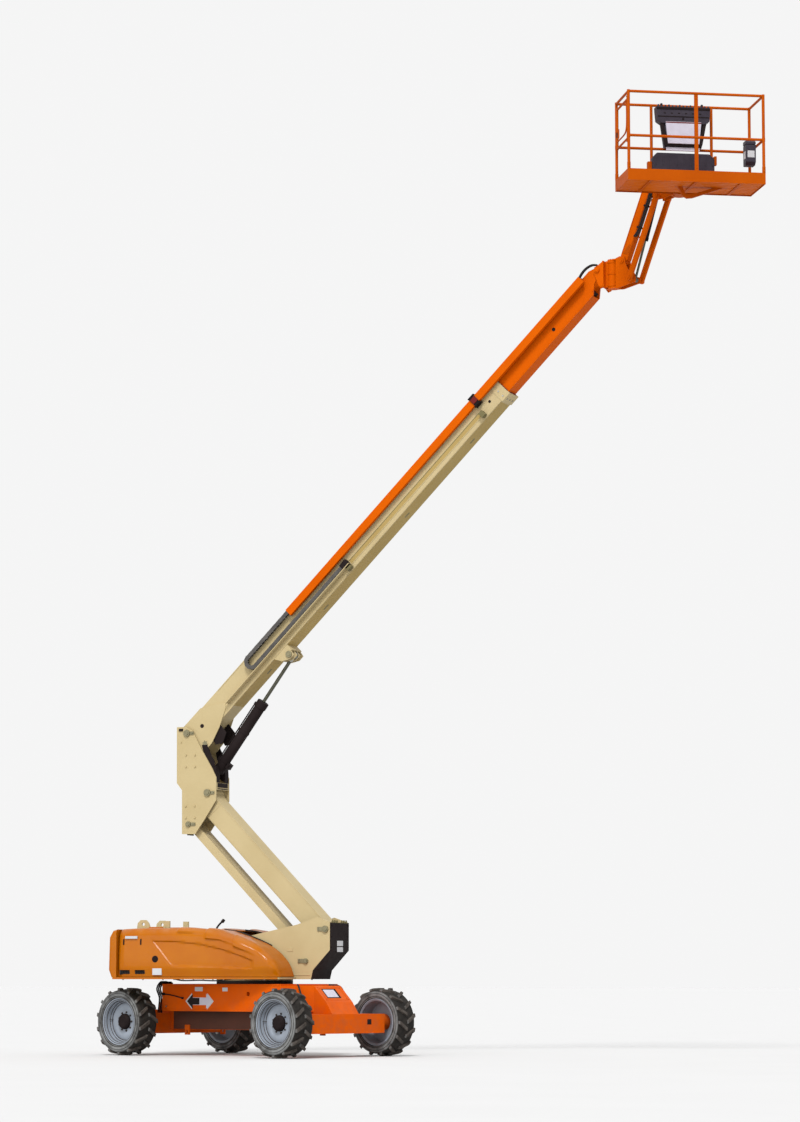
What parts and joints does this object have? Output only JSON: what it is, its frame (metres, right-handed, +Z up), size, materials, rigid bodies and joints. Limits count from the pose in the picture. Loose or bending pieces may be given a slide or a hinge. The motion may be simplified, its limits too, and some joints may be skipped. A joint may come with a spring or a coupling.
{
  "type": "articulating boom lift",
  "caption": "Self-propelled articulating boom lift with a tower boom, an upright, a telescoping main boom, a levelled jib and a rotating work platform.",
  "frame": {"origin": "middle of the machine's footprint box on the ground, in the pose shown", "axes": "+X along the booms toward the platform, +Y to the turntable's left, +Z up; the chassis stands turned 20.5 degrees about +Z below the turntable"},
  "size_m": [9.7166, 3.4834, 12.481],
  "materials": {
    "orange_paint": "orange enamel",
    "cream_paint": "cream enamel",
    "black_paint": "satin black",
    "rim_paint": "pale blue grey",
    "tyre": "lugged rubber",
    "cast": "as cast",
    "dark_plastic": "moulded",
    "chain_plastic": "moulded links",
    "hard_chrome": "hard chrome rod"
  },
  "bodies": {
    "chassis": {"chassis_frame": "orange_paint", "axle_front": "orange_paint", "axle_rear": "orange_paint", "swing_bearing": "cast"},
    "knuckle_left": {"knuckle_left": "cast"},
    "knuckle_right": {"knuckle_right": "cast"},
    "steering_rod": {"steering_rod": "hard_chrome"},
    "wheel_front_left": {"tyre_front_left": "tyre", "rim_front_left": "rim_paint"},
    "wheel_front_right": {"tyre_front_right": "tyre", "rim_front_right": "rim_paint"},
    "wheel_rear_left": {"tyre_rear_left": "tyre", "rim_rear_left": "rim_paint"},
    "wheel_rear_right": {"tyre_rear_right": "tyre", "rim_rear_right": "rim_paint"},
    "turntable": {"turntable_frame": "cream_paint", "front_cover": "black_paint", "power_pack": "cast", "battery_pack": "cast", "counterweight": "orange_paint"},
    "hood_left": {"hood_left": "orange_paint"},
    "hood_right": {"hood_right": "orange_paint"},
    "tower_boom": {"tower_boom": "cream_paint"},
    "tension_link": {"tension_link": "cream_paint"},
    "upright": {"upright": "cream_paint", "lift_bracket": "black_paint"},
    "main_boom": {"boom_base": "cream_paint", "boom_collar": "cream_paint", "tube_guide": "black_paint", "track_tray": "black_paint", "power_track": "chain_plastic"},
    "lift_rod": {"lift_rod": "hard_chrome"},
    "lift_barrel": {"lift_barrel": "black_paint"},
    "fly_boom": {"fly_boom": "orange_paint", "hose_tube": "orange_paint"},
    "boom_tip": {"tip_knuckle": "orange_paint"},
    "jib_bracket": {"jib_bracket": "orange_paint"},
    "jib_beam": {"jib_beam": "orange_paint"},
    "jib_links": {"jib_links": "orange_paint"},
    "jib_barrel": {"jib_barrel": "black_paint"},
    "jib_rod": {"jib_rod": "hard_chrome"},
    "platform_support": {"platform_support": "orange_paint"},
    "platform": {"platform_mount": "orange_paint", "platform_floor": "orange_paint", "platform_rails": "orange_paint", "control_console": "dark_plastic", "platform_power_box": "dark_plastic", "tool_box": "dark_plastic"},
    "platform_gate": {"platform_gate": "orange_paint"}
  },
  "joints": [
    {"name": "wheel_front_left_spin", "type": "hinge", "parent": "chassis", "child": "wheel_front_left", "pos_m": [-0.92808, 0.40607, 0.457], "axis": [0.3502, 0.9367, 0], "continuous": true},
    {"name": "wheel_front_right_spin", "type": "hinge", "parent": "chassis", "child": "wheel_front_right", "pos_m": [-1.61799, -1.43918, 0.457], "axis": [0.3502, 0.9367, 0], "continuous": true},
    {"name": "wheel_rear_left_spin", "type": "hinge", "parent": "knuckle_left", "child": "wheel_rear_left", "pos_m": [-3.69127, 1.43918, 0.457], "axis": [0.3502, 0.9367, 0], "continuous": true},
    {"name": "wheel_rear_right_spin", "type": "hinge", "parent": "knuckle_right", "child": "wheel_rear_right", "pos_m": [-4.38118, -0.40607, 0.457], "axis": [0.3502, 0.9367, 0], "continuous": true},
    {"name": "steer_left", "type": "hinge", "parent": "chassis", "child": "knuckle_left", "pos_m": [-3.77532, 1.21438, 0.457], "axis": [0, 0, 1], "range_deg": [-30, 30]},
    {"name": "steer_right", "type": "hinge", "parent": "chassis", "child": "knuckle_right", "pos_m": [-4.29713, -0.18127, 0.457], "axis": [0, 0, 1], "range_deg": [-30, 30]},
    {"name": "steering_rod_slide", "type": "slide", "parent": "chassis", "child": "steering_rod", "axis": [0.3502, 0.9367, 0], "range_m": [-0.125, 0.125]},
    {"name": "turntable_swing", "type": "hinge", "parent": "chassis", "child": "turntable", "pos_m": [-2.65463, 0, 1.01], "axis": [0, 0, 1], "range_deg": [-180, 180]},
    {"name": "tower_lift", "type": "hinge", "parent": "turntable", "child": "tower_boom", "pos_m": [-1.48063, 0, 1.7], "axis": [0, 1, 0], "range_deg": [-46.05, 23.95]},
    {"name": "tension_link_turn", "type": "hinge", "parent": "turntable", "child": "tension_link", "pos_m": [-1.76463, 0, 1.274], "axis": [0, 1, 0], "range_deg": [-46.05, 23.95]},
    {"name": "upright_level", "type": "hinge", "parent": "tower_boom", "child": "upright", "pos_m": [-3.27956, 0, 3.5661], "axis": [0, 1, 0], "range_deg": [-23.95, 46.05]},
    {"name": "boom_lift", "type": "hinge", "parent": "upright", "child": "main_boom", "pos_m": [-3.59556, 0, 4.3881], "axis": [0, -1, 0], "range_deg": [-53.4, 27.6]},
    {"name": "lift_rod_turn", "type": "hinge", "parent": "main_boom", "child": "lift_rod", "pos_m": [-2.08961, 0, 5.43384], "axis": [0, -1, 0], "range_deg": [-1.65, 0.88]},
    {"name": "lift_cylinder_stroke", "type": "slide", "parent": "lift_rod", "child": "lift_barrel", "axis": [-0.5855, 0, -0.8106], "range_m": [-0.5379, 0.279]},
    {"name": "boom_extend", "type": "slide", "parent": "main_boom", "child": "fly_boom", "axis": [0.7022, 0, 0.712], "range_m": [-1.7, 2.9], "deforming": ["power_track"]},
    {"name": "tip_level", "type": "hinge", "parent": "fly_boom", "child": "boom_tip", "pos_m": [2.37495, 0, 10.42831], "axis": [0, -1, 0], "range_deg": [-27.6, 53.4]},
    {"name": "jib_swing", "type": "hinge", "parent": "boom_tip", "child": "jib_bracket", "pos_m": [2.54543, 0, 10.20495], "axis": [0, 0, 1], "range_deg": [-47.5, 77.5]},
    {"name": "jib_lift", "type": "hinge", "parent": "jib_bracket", "child": "jib_beam", "pos_m": [2.72896, -0.04918, 10.53496], "axis": [0.2588, 0.9659, 0], "range_deg": [-7.45, 102.5]},
    {"name": "jib_links_turn", "type": "hinge", "parent": "jib_bracket", "child": "jib_links", "pos_m": [2.88737, -0.09162, 10.26995], "axis": [0.2588, 0.9659, 0], "range_deg": [-7.45, 102.5]},
    {"name": "jib_barrel_turn", "type": "hinge", "parent": "jib_beam", "child": "jib_barrel", "pos_m": [3.23173, -0.18389, 11.40189], "axis": [0.2588, 0.9659, 0], "range_deg": [-0.5, 3.2]},
    {"name": "jib_cylinder_stroke", "type": "slide", "parent": "jib_barrel", "child": "jib_rod", "axis": [0.2902, -0.0778, 0.9538], "range_m": [-0.0371, 0.485]},
    {"name": "platform_level", "type": "hinge", "parent": "jib_beam", "child": "platform_support", "pos_m": [3.15204, -0.16254, 11.59503], "axis": [0.2588, 0.9659, 0], "range_deg": [-102.5, 7.45]},
    {"name": "platform_rotate", "type": "hinge", "parent": "platform_support", "child": "platform", "pos_m": [3.5693, -0.27435, 11.28996], "axis": [0, 0, 1], "range_deg": [-46, 134]},
    {"name": "gate_swing", "type": "hinge", "parent": "platform", "child": "platform_gate", "pos_m": [3.26756, -1.51379, 11.88996], "axis": [0, 0, -1], "range_deg": [0, 90]},
    {"name": "hood_left_lid", "type": "hinge", "parent": "turntable", "child": "hood_left", "pos_m": [-2.65463, 0.324, 1.73], "axis": [1, 0, 0], "range_deg": [0, 60]},
    {"name": "hood_right_lid", "type": "hinge", "parent": "turntable", "child": "hood_right", "pos_m": [-2.65463, -0.324, 1.73], "axis": [-1, 0, 0], "range_deg": [0, 60]}
  ],
  "couplings": [
    {"joint": "steer_right", "follows": "steer_left", "ratio": 1},
    {"joint": "steering_rod_slide", "follows": "steer_left", "m_per_rad": -0.22441},
    {"joint": "tension_link_turn", "follows": "tower_lift", "ratio": 1},
    {"joint": "upright_level", "follows": "tower_lift", "ratio": -1},
    {"joint": "lift_rod_turn", "follows": "boom_lift", "ratio": 0.03},
    {"joint": "lift_cylinder_stroke", "follows": "boom_lift", "m_per_rad": 0.575},
    {"joint": "tip_level", "follows": "boom_lift", "ratio": -1},
    {"joint": "jib_links_turn", "follows": "jib_lift", "ratio": 1},
    {"joint": "jib_barrel_turn", "follows": "jib_lift", "ratio": 0.03},
    {"joint": "jib_cylinder_stroke", "follows": "jib_lift", "m_per_rad": 0.27},
    {"joint": "platform_level", "follows": "jib_lift", "ratio": -1}
  ]
}
